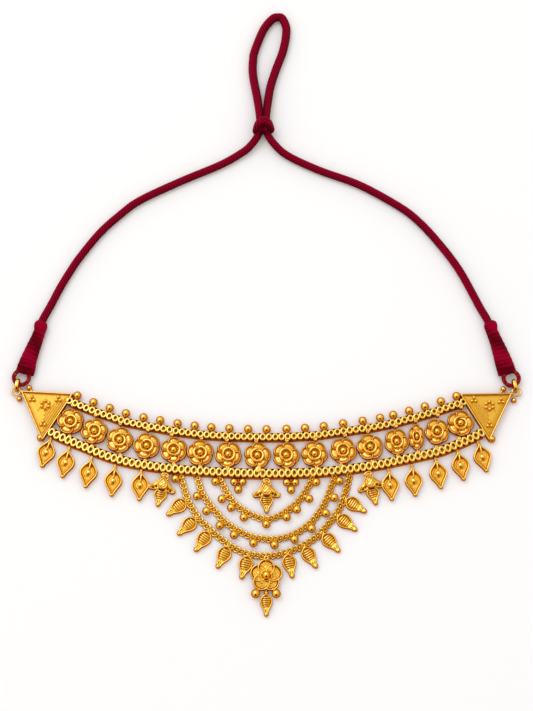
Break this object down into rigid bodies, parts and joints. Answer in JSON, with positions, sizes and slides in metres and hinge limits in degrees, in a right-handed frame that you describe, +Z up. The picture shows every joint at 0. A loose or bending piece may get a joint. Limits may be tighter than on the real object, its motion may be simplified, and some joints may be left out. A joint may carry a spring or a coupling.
{
  "type": "choker necklace",
  "caption": "Flat gold choker: box chains joined by rose rosettes, leaf and bell drops, chain swags with a flower pendant, closed by a knotted red silk cord.",
  "frame": {"origin": "on the surface it lies on, under the middle of the gold part's box", "axes": "+Z up from the surface it lies on, +X along the band to the wearer's left in the front view, +Y from the pendant towards the neck and the cord"},
  "size_m": [0.1668, 0.2092, 0.0062],
  "materials": {
    "gold": "warm yellow gold plate, satin with bright rims and dark orange crevices",
    "gold_chain": "bright polished gold wire",
    "thread": "crimson silk thread wound in bands, with a soft sheen",
    "cord": "fine braided crimson silk, matt with a soft sheen"
  },
  "bodies": {
    "root": {"upper_chain": "gold_chain", "lower_chain": "gold_chain", "rosette_01": "gold", "rosette_02": "gold", "rosette_03": "gold", "rosette_04": "gold", "rosette_05": "gold", "rosette_06": "gold", "rosette_07": "gold", "rosette_08": "gold", "rosette_09": "gold", "rosette_10": "gold", "rosette_11": "gold", "rosette_12": "gold", "rosette_13": "gold", "rosette_14": "gold", "rosette_15": "gold", "rosette_16": "gold", "leaf_drop_01": "gold", "leaf_drop_02": "gold", "leaf_drop_03": "gold", "leaf_drop_04": "gold", "leaf_drop_05": "gold", "leaf_drop_06": "gold", "leaf_drop_07": "gold", "leaf_drop_08": "gold", "leaf_drop_09": "gold", "leaf_drop_10": "gold", "bell_drop_01": "gold", "bell_drop_02": "gold", "bell_drop_03": "gold", "ball_cluster_01": "gold", "ball_cluster_02": "gold", "swag_inner": "gold_chain", "swag_middle": "gold_chain", "swag_outer": "gold_chain", "swag_leaf_01": "gold", "swag_leaf_02": "gold", "swag_leaf_03": "gold", "swag_leaf_04": "gold", "swag_leaf_05": "gold", "swag_leaf_06": "gold", "swag_leaf_07": "gold", "swag_leaf_08": "gold", "swag_leaf_09": "gold", "swag_leaf_10": "gold", "centre_flower": "gold", "pendant_leaf": "gold", "end_plate_left": "gold", "jump_ring_left": "gold", "end_plate_right": "gold", "jump_ring_right": "gold", "wrapped_ring_left": "thread", "thread_wrap_left": "thread", "wrapped_ring_right": "thread", "thread_wrap_right": "thread", "cord_left": "cord", "cord_loop": "cord", "cord_right": "cord", "cord_knot": "cord"}
  },
  "joints": []
}
